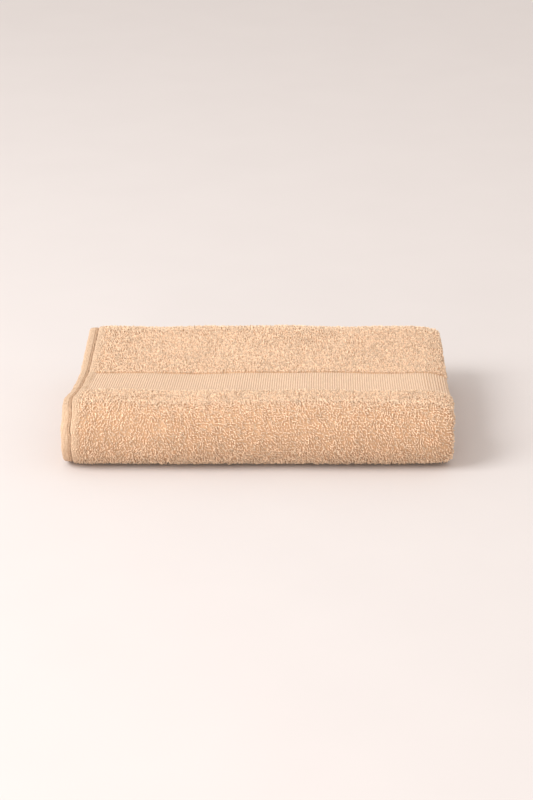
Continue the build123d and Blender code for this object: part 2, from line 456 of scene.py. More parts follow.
# %% [markdown]
# ## The stretches of cloth
#
# Between two folds the cloth runs straight, and in a fold it turns. Each such stretch knows how a
# step along it and a level give a place, at which level its near face lies, and which body or
# bodies carry it. The front bend belongs to both halves.


# %% Stretches
def on_upper(step, level):
    """Upper half: the step is the place along y"""
    return step, HINGE_Z + level


def on_lower(step, level):
    """Lower half: the same, hanging down from the plane between the halves"""
    return step, HINGE_Z - level


def on_bend(step, level):
    """Front bend: the step is the angle from straight up, forwards and round to straight down"""
    return HINGE_Y - level * np.sin(step), HINGE_Z + level * np.cos(step)


def rear_fold(node):
    """Place function and inner level of a rear fold, whose step is the angle from straight down"""
    axis_y = span(node, "y")[0]
    low, high = span(node, "z")
    axis_z = (low + high) / 2
    inner = (high - low) / 2 - LEAF

    def place(step, level):
        return axis_y + level * np.sin(step), axis_z - level * np.cos(step)

    return place, inner


def steps_between(start, end, spacing):
    """Evenly spaced steps, about as far apart as asked"""
    return np.linspace(start, end, max(2, round((end - start) / spacing) + 1))


def stretch(node, place, level, longer, steps, bodies, scale=1.0):
    """One stretch of doubled cloth; scale is the length of cloth for one unit of step"""
    return {
        "node": node, "place": place, "level": level, "longer": longer,
        "steps": steps, "bodies": bodies, "scale": scale,
    }


def straight(node, panel, half):
    """A stretch that lies flat in one half"""
    place, body = (on_upper, UPPER) if half == "upper" else (on_lower, LOWER)
    steps = steps_between(*span(node, "y"), 8 * MM)
    return stretch(node, place, LEVEL[panel], LONG_PLY[panel], steps, [body])


def front_bend(panel):
    """The stretch of a panel that turns round the front"""
    steps = steps_between(0, math.pi, math.radians(6))
    level = LEVEL[panel]
    node = f"{panel}_bend_terry"
    return stretch(node, on_bend, level, LONG_PLY[panel], steps, [LOWER, UPPER], level + PLY)


def back_fold(half):
    """The stretch that turns round the back in one half"""
    node = f"{half}_rear_fold_terry"
    place, inner = rear_fold(node)
    steps = steps_between(0, math.pi, math.radians(9))
    return stretch(node, place, inner, "near", steps, [UPPER if half == "upper" else LOWER], inner + PLY)


STRETCHES = {
    "cover_rear": straight("cover_upper_rear_terry", "cover", "upper"),
    "cover_band": straight("cover_border", "cover", "upper"),
    "cover_front": straight("cover_upper_front_terry", "cover", "upper"),
    "cover_bend": front_bend("cover"),
    "cover_under": straight("cover_lower_terry", "cover", "lower"),
    "lower_back": back_fold("lower"),
    "middle_under": straight("middle_lower_terry", "middle", "lower"),
    "middle_bend": front_bend("middle"),
    "middle_over": straight("middle_upper_terry", "middle", "upper"),
    "upper_back": back_fold("upper"),
    "tail_over": straight("tail_upper_terry", "tail", "upper"),
    "tail_bend": front_bend("tail"),
    "tail_front": straight("tail_lower_front_terry", "tail", "lower"),
    "tail_band": straight("tail_border", "tail", "lower"),
    "tail_rear": straight("tail_lower_rear_terry", "tail", "lower"),
}
print(len(STRETCHES), "stretches of cloth")

# %% [markdown]
# ## The cloth itself
#
# The ground weave is a closed sheet with thickness. Across the towel it runs along the far ply,
# turns round the side fold and comes back along the near ply, so its section is a long U. Moving
# that section along a stretch gives two grids of points, one for each face, joined at the edges.
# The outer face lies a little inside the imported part, because the loops stand on it.

# %% Section of the doubled cloth
PILE_DEPTH = 1.4 * MM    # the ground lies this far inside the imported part
BAND_DEPTH = 1.25 * MM
COLUMN = 9 * MM          # distance of points across the towel
UNDER_HEM = 6.5 * MM     # the ground weave runs on inside the turned hem


def hem_ends(longer):
    """Where the cloth of the far and the near ply ends, inside its hem"""
    short = LEFT + HEM_STEP + HEM_WIDTH - UNDER_HEM
    long = LEFT + HEM_STEP - UNDER_HEM
    return (short, long) if longer == "near" else (long, short)


def section(level, longer, depth):
    """x and level of the outer and inner line of the doubled cloth, and which part each point is of"""
    far_end, near_end = hem_ends(longer)
    columns = round((FOLD_X - far_end) / COLUMN)
    far_x = np.linspace(far_end, FOLD_X, columns)
    near_x = np.linspace(FOLD_X, near_end, columns)
    turn = np.linspace(0, math.pi, 11)[1:-1]
    lines = []
    for radius in (LEAF / 2 - depth, PLY_GAP / 2):
        x = np.concatenate([far_x, FOLD_X + radius * np.sin(turn), near_x])
        rise = np.concatenate([np.full(columns, radius), radius * np.cos(turn), np.full(columns, -radius)])
        lines.append((x, level + LEAF / 2 + rise))
    part = np.array(["far"] * columns + ["turn"] * len(turn) + ["near"] * columns)
    return lines, part


def sweep(piece, x, level, steps=None):
    """Settled points of a section moved along a stretch, one row for each step"""
    steps = piece["steps"] if steps is None else steps
    step_grid, x_grid = np.meshgrid(steps, x, indexing="ij")
    y, z = piece["place"](step_grid, np.broadcast_to(level, step_grid.shape))
    points = np.stack([x_grid, y, z], axis=-1)
    return settle(points.reshape(-1, 3)).reshape(points.shape)


# %% Meshes from grids of points
def unit(vectors):
    """Vectors scaled to length 1"""
    return vectors / np.linalg.norm(vectors, axis=-1, keepdims=True)


def grid_faces(rows, columns, first=0):
    """Quads of a grid whose points are counted row by row"""
    corner = first + np.arange(rows * columns).reshape(rows, columns)
    sides = [corner[:-1, :-1], corner[:-1, 1:], corner[1:, 1:], corner[1:, :-1]]
    return np.stack(sides, axis=-1).reshape(-1, 4)


def mesh_object(name, points, faces, finish, attributes):
    """An object at the origin with its place in its mesh, its finish, and named point attributes"""
    mesh = bpy.data.meshes.new(name)
    mesh.from_pydata(points.reshape(-1, 3).tolist(), [], [list(map(int, f)) for f in faces])
    for label, values in attributes.items():
        kind, field = ("FLOAT_VECTOR", "vector") if values.ndim == 2 else ("FLOAT", "value")
        mesh.attributes.new(label, kind, "POINT").data.foreach_set(field, values.ravel())
    mesh.polygons.foreach_set("use_smooth", [True] * len(mesh.polygons))
    mesh.materials.append(FINISH[finish])
    return add_object(name, mesh)


def face_outwards(built):
    """Turn the faces of a closed mesh so that they all look outwards"""
    shape = bmesh.new()
    shape.from_mesh(built.data)
    bmesh.ops.recalc_face_normals(shape, faces=shape.faces)
    shape.to_mesh(built.data)
    shape.free()


def lie_of(x, steps, scale):
    """Metres across and along the cloth for each grid point, for patterns that follow it"""
    across = np.concatenate([[0], np.cumsum(np.abs(np.diff(x)))])
    along, across = np.meshgrid(steps * scale, across, indexing="ij")
    return np.stack([across, along, np.zeros_like(across)], axis=-1).reshape(-1, 3)


def thick_sheet(name, outer, inner, finish, lie):
    """A closed sheet between two grids of points"""
    rows, columns = outer.shape[:2]
    count = rows * columns
    faces = [grid_faces(rows, columns), grid_faces(rows, columns, count)[:, ::-1]]
    corner = np.arange(count).reshape(rows, columns)
    rim = np.concatenate([corner[0], corner[1:, -1], corner[-1, -2::-1], corner[-2:0:-1, 0]])
    following = np.roll(rim, -1)
    faces.append(np.stack([following, rim, rim + count, following + count], axis=-1))
    points = np.concatenate([outer.reshape(-1, 3), inner.reshape(-1, 3)])
    built = mesh_object(name, points, np.concatenate(faces), finish, {"lie": np.concatenate([lie, lie])})
    face_outwards(built)
    return built

# %% Carrying a piece on its half
PRESSED = 0.8 * MM       # what lies lower than this is pressed flatter


def press_down(built):
    """Flatten softly what would reach into the floor, as the towel's own weight does"""
    points = np.empty(3 * len(built.data.vertices))
    built.data.vertices.foreach_get("co", points)
    height = points[2::3]
    points[2::3] = np.where(height < PRESSED, PRESSED * np.exp(height / PRESSED - 1), height)
    built.data.vertices.foreach_set("co", points)


def carry(built, bodies):
    """Press down what would reach into the floor, then ride on one half. A piece of both halves
    only has its place baked into its mesh"""
    press_down(built)
    if len(bodies) == 1:
        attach(built, bodies[0])
    else:
        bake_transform(built)
    return built

# %% Weave the cloth of every stretch
BAND_RIM = MM * np.array([4, 2.5, 1.8, 1.2, 0.6, 0])    # close steps where the band's edge is grooved
GROOVE_WIDTH = 1.3 * MM
CLOTH = {}
for name, piece in STRETCHES.items():
    is_band = name.endswith("band")
    if is_band:
        rim = piece["steps"][-1]
        piece["steps"] = np.concatenate([piece["steps"][:-1], rim - BAND_RIM])
    depth = BAND_DEPTH if is_band else PILE_DEPTH
    (outer_line, inner_line), part = section(piece["level"], piece["longer"], depth)
    outer = sweep(piece, *outer_line)
    inner = sweep(piece, *inner_line)
    if is_band:
        groove = 0.5 * np.exp(-((rim - piece["steps"]) / GROOVE_WIDTH) ** 2)
        outer = outer + (inner - outer) * groove[:, None, None]
    finish = "band" if is_band else "ground"
    lie = lie_of(outer_line[0], piece["steps"], piece["scale"])
    CLOTH[name] = thick_sheet(f"{name}_cloth", outer, inner, finish, lie)
    piece.update(outer=outer, inner=inner, part=part, x=outer_line[0], finish=finish)
print("cloth faces", sum(len(c.data.polygons) for c in CLOTH.values()))

# %% [markdown]
# ## The loops
#
# Terry is a forest of small yarn loops. Painted on, they would leave a smooth outline, so each
# loop is a short arched tube. Geometry Nodes scatter them over the ground with an even spacing,
# stand each on the surface, turn it to the flow of the pile with some disorder, and scale it.
# Four loops with different curls are enough, since no two neighbours have the same turn and size.
# Height along the loop is stored for the finish, which paints each loop darker towards its roots as
# shade. So is a shade value: a random yarn tone, mixed with painted shade that darkens the loops
# lying low between clumps.


# %% Helpers for geometry trees
def new_growth(name, inputs):
    """A geometry tree with a mesh in and out, named inputs and a finish"""
    inputs = {"Geometry": "NodeSocketGeometry", **inputs, "Finish": "NodeSocketMaterial"}
    return new_group(name, "GeometryNodeTree", inputs, {"Geometry": "NodeSocketGeometry"})


def stored(tree, name, kind="FLOAT_VECTOR"):
    """What a mesh has stored under a name"""
    read = add_node(tree, "GeometryNodeInputNamedAttribute", {"Name": name}, data_type=kind)
    return read.outputs["Attribute"]


def random_number(tree, low, high, seed):
    """A random number for each point"""
    inputs = {2: low, 3: high, "Seed": seed}
    return add_node(tree, "FunctionNodeRandomValue", inputs, data_type="FLOAT").outputs[1]


def smoothed(tree, geometry):
    """Smooth shading on a geometry"""
    return add_node(tree, "GeometryNodeSetShadeSmooth", {"Geometry": geometry}).outputs[0]


def stand_on(tree, normal, angles):
    """A rotation that stands z on the normal, lays x along the cloth and then turns by the angles"""
    upright = add_node(tree, "FunctionNodeAlignRotationToVector", {"Vector": normal}, axis="Z")
    along = add_node(tree, "FunctionNodeAlignRotationToVector", {
        "Rotation": upright, "Vector": stored(tree, "lay"),
    }, axis="X", pivot_axis="Z")
    turn = add_node(tree, "ShaderNodeCombineXYZ", angles)
    as_rotation = add_node(tree, "FunctionNodeEulerToRotation", {0: turn})
    turned = add_node(tree, "FunctionNodeRotateRotation", {
        "Rotation": along, "Rotate By": as_rotation,
    }, rotation_space="LOCAL")
    return turned.outputs[0]


def bead(tree, length, radius, rings, axis):
    """A smooth bead whose ends lie along an axis, X or Z"""
    ball = add_node(tree, "GeometryNodeMeshUVSphere", {"Segments": 6, "Rings": rings, "Radius": 1.0})
    tipped = add_node(tree, "GeometryNodeTransform", {
        "Geometry": ball, "Rotation": (0, math.pi / 2 if axis == "X" else 0, 0),
    })
    half = calculate(tree, "MULTIPLY", length, 0.5)
    scale = add_node(tree, "ShaderNodeCombineXYZ", {**dict.fromkeys("XYZ", radius), axis: half})
    shaped = add_node(tree, "GeometryNodeTransform", {
        "Geometry": tipped, "Scale": scale,
    })
    return smoothed(tree, shaped.outputs[0])


def give_result(tree, given, result, plant, shade):
    """Store a shade on each planted piece, make them one mesh with the finish, and give it out"""
    shaded = add_node(tree, "GeometryNodeStoreNamedAttribute", {
        "Geometry": plant, "Name": "shade", "Value": shade,
    }, domain="INSTANCE")
    real = add_node(tree, "GeometryNodeRealizeInstances", {"Geometry": shaded})
    dressed = add_node(tree, "GeometryNodeSetMaterial", {
        "Geometry": real, "Material": given["Finish"],
    })
    tree.links.new(dressed.outputs[0], result["Geometry"])


def grow(tree, built, values):
    """Run a geometry tree on an object, keep the mesh that it makes and drop the modifier"""
    modifier = built.modifiers.new("grow", "NODES")
    modifier.node_group = tree
    sockets = {s.name: s.identifier for s in tree.interface.items_tree if s.in_out == "INPUT"}
    for label, value in values.items():
        modifier[sockets[label]] = value
    depsgraph = bpy.context.evaluated_depsgraph_get()
    grown = bpy.data.meshes.new_from_object(built.evaluated_get(depsgraph))
    built.modifiers.remove(modifier)
    built.data = grown
    return built

# %% The tree that grows loops
SHAPES = ((0.4, 0.1), (-0.3, -0.15), (0.1, 0.3), (-0.55, 0.0))    # sideways curl and forward lean
ROOT_DEPTH = -0.35       # shares of the loop's height
ARCH_TOP = 2.2           # the middle handle of the arch; the yarn reaches about half of it


def one_loop(tree, given, curl, lean):
    """One arched tube from root to root, with its height stored as rise"""

    def arch_point(along, side, up):
        """A point of the arch, in shares of the loop's length and height"""
        shares = ((along, "Loop Length"), (side, "Loop Length"), (up, "Loop Height"))
        parts = [calculate(tree, "MULTIPLY", given[size], share) for share, size in shares]
        return add_node(tree, "ShaderNodeCombineXYZ", dict(enumerate(parts))).outputs[0]

    arch = add_node(tree, "GeometryNodeCurveQuadraticBezier", {
        "Resolution": 3,
        "Start": arch_point(-0.5, -0.1 * curl, ROOT_DEPTH),
        "Middle": arch_point(lean, curl, ARCH_TOP),
        "End": arch_point(0.5, -0.25 * curl, ROOT_DEPTH),
    })
    ring = add_node(tree, "GeometryNodeCurvePrimitiveCircle", {
        "Radius": given["Yarn Radius"], "Resolution": given["Sides"],
    })
    tube = add_node(tree, "GeometryNodeCurveToMesh", {
        "Curve": arch, "Profile Curve": ring, "Fill Caps": True,
    })
    place = add_node(tree, "GeometryNodeInputPosition")
    axes = add_node(tree, "ShaderNodeSeparateXYZ", {0: place})
    # The finish reads rise and paints the loop darker towards its roots, as shade
    rise = calculate(tree, "DIVIDE", axes.outputs["Z"], given["Loop Height"], use_clamp=True)
    with_rise = add_node(tree, "GeometryNodeStoreNamedAttribute", {
        "Geometry": tube, "Name": "rise", "Value": rise,
    }, domain="POINT")
    return smoothed(tree, with_rise.outputs[0])


def pile_tree():
    """Geometry nodes that cover a bed with terry loops"""
    tree, given, result = new_growth("terry pile", {
        "Spacing": 1.6 * MM,
        "Loop Length": 3.2 * MM,
        "Loop Height": 1.5 * MM,
        "Yarn Radius": 0.6 * MM,
        "Sides": 4,
        "Disorder": 1.2,
        "Clump Height": 0.5 * MM,
        "Clump Scale": 110.0,
        "Valley Shade": 0.1,
        "Seed": 1,
    })
    scatter = add_node(tree, "GeometryNodeDistributePointsOnFaces", {
        "Mesh": given["Geometry"], "Distance Min": given["Spacing"],
        "Density Max": 2000000, "Seed": given["Seed"],
    }, distribute_method="POISSON")
    normal = scatter.outputs["Normal"]
    clumps = add_node(tree, "ShaderNodeTexNoise", {"Scale": given["Clump Scale"], "Detail": 1.0})
    clump = clumps.outputs["Fac"]
    centred = calculate(tree, "MULTIPLY_ADD", clump, 2, -1)
    lift = calculate(tree, "MULTIPLY", centred, given["Clump Height"])
    offset = add_node(tree, "ShaderNodeVectorMath", {0: normal, "Scale": lift}, operation="SCALE")
    lifted = add_node(tree, "GeometryNodeSetPosition", {
        "Geometry": scatter.outputs["Points"], "Offset": offset,
    })

    loops = add_node(tree, "GeometryNodeGeometryToInstance")
    for curl, lean in SHAPES:
        tree.links.new(one_loop(tree, given, curl, lean), loops.inputs["Geometry"])

    spin = calculate(tree, "MULTIPLY_ADD", random_number(tree, -1, 1, 11), given["Disorder"],
                     stored(tree, "flow", "FLOAT"))
    angles = {"X": random_number(tree, -0.3, 0.3, 12), "Y": random_number(tree, -0.3, 0.3, 13), "Z": spin}
    sizes = {axis: random_number(tree, 0.7, 1.25, 14 + number) for number, axis in enumerate("XYZ")}
    size = add_node(tree, "ShaderNodeCombineXYZ", sizes)
    scale = add_node(tree, "ShaderNodeVectorMath", {
        0: size, "Scale": stored(tree, "full", "FLOAT"),
    }, operation="SCALE")
    plant = add_node(tree, "GeometryNodeInstanceOnPoints", {
        "Points": lifted, "Instance": loops, "Pick Instance": True,
        "Rotation": stand_on(tree, normal, angles), "Scale": scale,
    })
    # The shade value mixes a random yarn tone with painted shade: loops lying low in the hollows between
    # clumps get darker
    valley_shade = add_node(tree, "ShaderNodeMapRange", {"Value": clump, "From Min": 0.35, "From Max": 0.65})
    tone_and_valley_shade = add_node(tree, "ShaderNodeMix", {
        "Factor": given["Valley Shade"], 2: random_number(tree, 0, 1, 17), 3: valley_shade.outputs["Result"],
    }, data_type="FLOAT")
    give_result(tree, given, result, plant, tone_and_valley_shade.outputs[0])
    return tree


PILE = pile_tree()
print("tree", PILE.name, len(PILE.nodes), "nodes")


# %% Beds on which loops and yarns stand
def lengthened(rows, before, after):
    """A grid whose first and last rows are moved outwards by these lengths"""
    rows = rows.copy()
    for end, neighbour, length in ((0, 1, before), (-1, -2, after)):
        rows[end] += length * unit(rows[end] - rows[neighbour])
    return rows


def bed(name, piece, parts, share=(0, 1), lap=(0, 0)):
    """The outer face of some parts of a stretch. The direction along the cloth is stored as lay,
    the pile's angle to it as flow, and the loops' size, less at the long hem, as full"""
    columns = np.flatnonzero(np.isin(piece["part"], parts))
    columns = np.arange(columns[0], columns[-1] + 1)
    first, last = (round(s * (len(columns) - 1)) for s in share)
    columns = columns[first:last + 1]
    outer = piece["outer"]
    lay = unit(np.gradient(outer, axis=0)[:, columns])
    points = lengthened(outer[:, columns], *lap)
    outward = (points - piece["inner"][:, columns]).reshape(-1, 3)
    faces = grid_faces(len(points), len(columns))
    flat = points.reshape(-1, 3)
    normal = np.cross(flat[faces[:, 1]] - flat[faces[:, 0]], flat[faces[:, 3]] - flat[faces[:, 0]])
    if (normal * outward[faces[:, 0]]).sum() < 0:
        faces = faces[:, ::-1]
    edge = LEFT + HEM_STEP
    full = 0.62 + 0.38 * ramp(piece["x"][columns], edge + 1 * MM, edge + 9 * MM)
    full = np.broadcast_to(full, points.shape[:2]).reshape(-1)
    attributes = {"lay": lay.reshape(-1, 3), "flow": flow_over(flat), "full": full}
    return mesh_object(name, flat, faces, "loops", attributes)


def flow_over(points):
    """Angle of the pile to the length of the cloth: straight at the left hem, slanting elsewhere"""
    slant = ramp(points[:, 0], LEFT + 25 * MM, LEFT + 110 * MM)
    return slant * math.radians(38) + 0.25 * np.sin(25 * points[:, 0] + 40 * points[:, 1])


# %% Kits of loops
def kit(spacing, length, radius, height, **others):
    """Inputs of the pile tree: sizes in millimetres, then any others"""
    sizes = {"Spacing": spacing, "Loop Length": length, "Yarn Radius": radius, "Loop Height": height}
    return {**{label: value * MM for label, value in sizes.items()}, **others}


FRONT = kit(1.75, 2.8, 0.5, 2.3, **{
    "Clump Height": 1.4 * MM, "Clump Scale": 150.0, "Valley Shade": 0.25, "Disorder": 0.9,
})
TOP = kit(1.5, 2.3, 0.43, 1.9, **{"Clump Height": 0.6 * MM, "Clump Scale": 160.0})
DENSE = kit(1.65, 2.6, 0.5, 1.7, **{"Clump Height": 0.35 * MM})
INNER = kit(2.7, 4.2, 0.8, 1.5)
SPARSE = kit(3.8, 6, 0.9, 0.9, **{"Clump Height": 0.1 * MM})
print("loops on top are", TOP["Spacing"], "apart, on the front", FRONT["Spacing"])

# %% Grow the pile
WHOLE = (0, 1)
OUTSIDE = ("far", "turn")
SIDE = ("turn",)
# Rows: piece, stretch, parts of its section, share of those parts, kit. The row's number is the seed
PILES = [
    ("cover_rear_pile_left", "cover_rear", OUTSIDE, (0, 0.33), TOP),
    ("cover_rear_pile_middle", "cover_rear", OUTSIDE, (0.33, 0.66), TOP),
    ("cover_rear_pile_right", "cover_rear", OUTSIDE, (0.66, 1), TOP),
    ("cover_front_pile", "cover_front", OUTSIDE, WHOLE, TOP),
    ("cover_bend_pile_left", "cover_bend", OUTSIDE, (0, 0.48), FRONT),
    ("cover_bend_pile_right", "cover_bend", OUTSIDE, (0.48, 1), FRONT),
    ("cover_under_pile", "cover_under", ("far",), WHOLE, SPARSE),
    ("cover_under_side_pile", "cover_under", SIDE, WHOLE, DENSE),
    ("lower_back_pile", "lower_back", OUTSIDE, WHOLE, DENSE),
    ("middle_under_pile", "middle_under", ("near",), WHOLE, INNER),
    ("middle_under_side_pile", "middle_under", SIDE, WHOLE, DENSE),
    ("middle_bend_pile", "middle_bend", SIDE, WHOLE, DENSE),
    ("middle_over_pile", "middle_over", ("near",), WHOLE, INNER),
    ("middle_over_side_pile", "middle_over", SIDE, WHOLE, DENSE),
    ("upper_back_pile", "upper_back", OUTSIDE, WHOLE, DENSE),
]
for name in ("tail_over", "tail_bend", "tail_front", "tail_rear"):
    PILES.append((f"{name}_pile", name, SIDE, WHOLE, DENSE))
# Loops reach this far over a line where two beds meet, so that no bare ground shows there
OVER = 1.0 * MM
LAP = {
    "cover_rear": (0, OVER), "cover_front": (OVER, 0),
    "cover_bend": (OVER, OVER), "middle_under": (OVER, 0), "middle_over": (OVER, 0),
}


def triangles(built):
    """Number of triangles of a mesh object"""
    built.data.calc_loop_triangles()
    return len(built.data.loop_triangles)


WITH = {name: [] for name in STRETCHES}
for seed, (name, stretch_name, parts, share, values) in enumerate(PILES):
    piece = STRETCHES[stretch_name]
    ground = bed(name, piece, parts, share, LAP.get(stretch_name, (0, 0)))
    pile = grow(PILE, ground, {**values, "Seed": seed, "Finish": FINISH["loops"]})
    WITH[stretch_name].append(carry(pile, piece["bodies"]))
    print(name, triangles(pile), "triangles")

# %% [markdown]
# ## The flat band
#
# The band has no loops. Its pattern is rows of short raised yarns, each passing over a few threads
# of the ground, in rows that are set off a little in turn. They stand on a grid of points.

# %% Yarns of the band
YARN_PITCH = 2.2 * MM
YARN_ROW = 4.3 * MM


def band_tree():
    """Geometry nodes that put one raised yarn on each point of a bed"""
    tree, given, result = new_growth("band yarns", {"Yarn Length": 5.4 * MM, "Yarn Radius": 0.72 * MM})
    points = add_node(tree, "GeometryNodeMeshToPoints", {"Mesh": given["Geometry"]}, mode="VERTICES")
    angles = {"Z": random_number(tree, -0.07, 0.07, 21)}
    plant = add_node(tree, "GeometryNodeInstanceOnPoints", {
        "Points": points,
        "Instance": bead(tree, given["Yarn Length"], given["Yarn Radius"], 5, "X"),
        "Rotation": stand_on(tree, stored(tree, "facing"), angles),
    })
    give_result(tree, given, result, plant, random_number(tree, 0, 1, 22))
    return tree


BAND_YARNS = band_tree()


def yarn_points(name, piece, parts):
    """Points in staggered rows over a band, each with its outward and along directions"""
    radius = LEAF / 2 - BAND_DEPTH
    flat_length = FOLD_X - hem_ends(piece["longer"])[0] if "far" in parts else 0
    length = flat_length + math.pi * radius
    steps = piece["steps"]
    spots = []
    for number, y in enumerate(steps_between(steps[0] + YARN_ROW / 2, steps[-1] - 0.9 * YARN_ROW, YARN_ROW)):
        start = YARN_PITCH * (0.9 if number % 2 else 1.0)
        spots += [(s, y) for s in np.arange(start, length - YARN_PITCH / 2, YARN_PITCH)]
    along_u, y = np.array(spots).T
    turn = np.clip((along_u - flat_length) / radius, 0, math.pi)
    x = np.minimum(along_u, flat_length) + FOLD_X - flat_length + radius * np.sin(turn)
    up = piece["level"] + LEAF / 2 + radius * np.cos(turn)

    def at(x, up, y):
        """Settled places of points of the band"""
        y_place, z_place = piece["place"](y, up)
        return settle(np.stack([x, y_place, z_place], axis=-1))

    points = at(x, up, y)
    outward = unit(at(x + MM * np.sin(turn), up + MM * np.cos(turn), y) - points)
    along = unit(at(x, up, y + MM) - points)
    return mesh_object(name, points, [], "floats", {"facing": outward, "lay": along})


for stretch_name, parts in (("cover_band", OUTSIDE), ("tail_band", SIDE)):
    piece = STRETCHES[stretch_name]
    points = yarn_points(f"{stretch_name}_yarns", piece, parts)
    yarns = grow(BAND_YARNS, points, {"Finish": FINISH["floats"]})
    WITH[stretch_name].append(carry(yarns, piece["bodies"]))
    print(yarns.name, triangles(yarns), "triangles")

# %% [markdown]
# ## Hems
#
# A hem is the edge of the cloth, turned in twice and sewn down, so it is smooth, rounded and free
# of loops, with a dent along the seam. Its section is drawn once and moved along the stretch.

# %% Hem section and sweep
SEAM_INSET = 1.5 * MM    # distance of a seam from the inner edge of its hem


def rounding(share, least=0):
    """Thickness of a round edge, from the least at its tip to 1"""
    return np.sqrt(1 - (1 - np.clip(share, least, 1)) ** 2)


def thickened(rings, share):
    """Rings of points moved away from their middles, or towards them"""
    middle = rings.mean(axis=1, keepdims=True)
    return middle + (rings - middle) * share


def hem_section(x_low, x_high, low, high):
    """Closed outline of a turned hem: round free edge on the left, seam dent near the right edge"""
    share = np.array([0, 0.015, 0.06, 0.13, 0.22, 0.35, 0.5, 0.62, 0.72, 0.78, 0.82, 0.86, 0.93, 1.0])
    width = x_high - x_low
    seam = 1 - SEAM_INSET / width
    dent = 1 - 0.34 * np.exp(-((share - seam) / 0.055) ** 2)
    half = (high - low) / 2 * rounding(share / 0.24) * dent * (1 - 0.25 * ramp(share, 0.9, 1.0))
    middle = (low + high) / 2
    x = x_low + share * width
    outline_x = np.concatenate([x, x[:0:-1]])
    outline_level = np.concatenate([middle + half, (middle - half)[:0:-1]])
    return outline_x, outline_level


def closed_tube(name, rings, lie):
    """A closed hem through rings of points, with flat ends"""
    rows, columns = rings.shape[:2]
    corner = np.arange(rows * columns).reshape(rows, columns)
    around = np.roll(corner, -1, axis=1)
    quads = np.stack([corner[:-1], around[:-1], around[1:], corner[1:]], axis=-1).reshape(-1, 4)
    faces = [list(q) for q in quads] + [list(corner[0]), list(corner[-1])]
    built = mesh_object(name, rings, faces, "hem", {"lie": lie})
    face_outwards(built)
    return built


def joined(name, objects):
    """Several mesh objects made into one"""
    shape = bmesh.new()
    for other in objects:
        shape.from_mesh(other.data)
    mesh = objects[0].data.copy()
    shape.to_mesh(mesh)
    shape.free()
    mesh.name = name
    for other in objects:
        bpy.data.objects.remove(other)
    return add_object(name, mesh)


HEM_DROP = 0.45 * MM
FREE_ROUND = 4 * MM  # a hem rounds off over this length at the towel's own corner
PUFF = 4.5 * MM      # nothing presses on the cover's long hem, so it swells by this much


def hem_limits(level, longer):
    """x and level limits of the long and the short hem of one stretch"""
    near = (level + PLY_GAP + HEM_DROP, level + PLY - HEM_DROP)
    far = (level + PLY + PLY_GAP + HEM_DROP, level + LEAF - HEM_DROP)
    long_side, short_side = (near, far) if longer == "near" else (far, near)
    if level == LEVEL["cover"]:
        long_side = (long_side[0], long_side[1] + PUFF)
    long_x = (LEFT, LEFT + HEM_STEP)
    short_x = (LEFT + HEM_STEP, LEFT + HEM_STEP + HEM_WIDTH)
    return [(*long_x, *long_side), (*short_x, *short_side)]


def uneven(rings):
    """The thickness of a hem, swelling and shrinking a little along its length"""
    place = 1000 * rings.mean(axis=1, keepdims=True).sum(axis=-1, keepdims=True)
    swell = 0.97 + 0.03 * np.sin(0.43 * place) + 0.04 * np.sin(0.19 * place + 1)
    swell = swell + 0.02 * np.sin(1.1 * place + 2)
    return thickened(rings, swell)


def build_hems(name, piece, steps, free_end=False):
    """Both hems of a stretch as one piece, rounded off where they reach the towel's own corner"""
    tubes = []
    for number, limits in enumerate(hem_limits(piece["level"], piece["longer"])):
        x, level = hem_section(*limits)
        rings = uneven(sweep(piece, x, level, steps))
        if free_end:
            rings = thickened(rings, rounding((steps[-1] - steps) / FREE_ROUND, 0.04)[:, None, None])
        lie = lie_of(x, steps, piece["scale"])
        tubes.append(closed_tube(f"{name}_{number}", rings, lie))
    return joined(name, tubes)

# %% Sew the hems of every stretch
HEMS = {
    "cover_upper": "cover_rear",
    "cover_lower": "cover_under",
    "middle_lower": "middle_under",
    "middle_upper": "middle_over",
    "tail_upper": "tail_over",
    "tail_lower": "tail_front",
    "cover_bend": "cover_bend",
    "tail_bend": "tail_bend",
    "middle_bend": "middle_bend",
    "lower_rear_fold": "lower_back",
    "upper_rear_fold": "upper_back",
}
FREE_END = ("cover_upper", "tail_lower")
END_STEPS = MM * np.array([1.6, 0.9, 0.4, 0.15, 0])     # close steps where a free end rounds off
HEM_STEPS = {}
JOIN = 0.5 * MM      # a straight hem reaches this far into the bend, so no gap shows between them
for place, stretch_name in HEMS.items():
    piece = STRETCHES[stretch_name]
    node = f"{place}_selvedges"
    if piece["place"] in (on_upper, on_lower):
        low, high = span(node, "y")
        steps = steps_between(low - JOIN, high, 2.5 * MM)
    else:
        steps = steps_between(0, math.pi, math.radians(5))
    HEM_STEPS[place] = steps
    if place in FREE_END:
        steps = np.concatenate([steps[:-1], steps[-1] - END_STEPS])
    hems = build_hems(f"{place}_hems", piece, steps, place in FREE_END)
    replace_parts(carry(hems, piece["bodies"]), node)
    WITH[stretch_name].append(hems)
print(len(HEMS), "pairs of hems")

# %% [markdown]
# ## End hems
#
# The end of the cloth is turned and sewn in the same way, but across the towel. The cover's end
# shows at the back of the stack. It is a thick sheet whose last millimetres round off.

# %% End hems
ROUNDED = 2 * MM         # the last stretch of an end hem, which rounds off
SEAM_IN = 10.5 * MM      # distance of the dented seam from the end


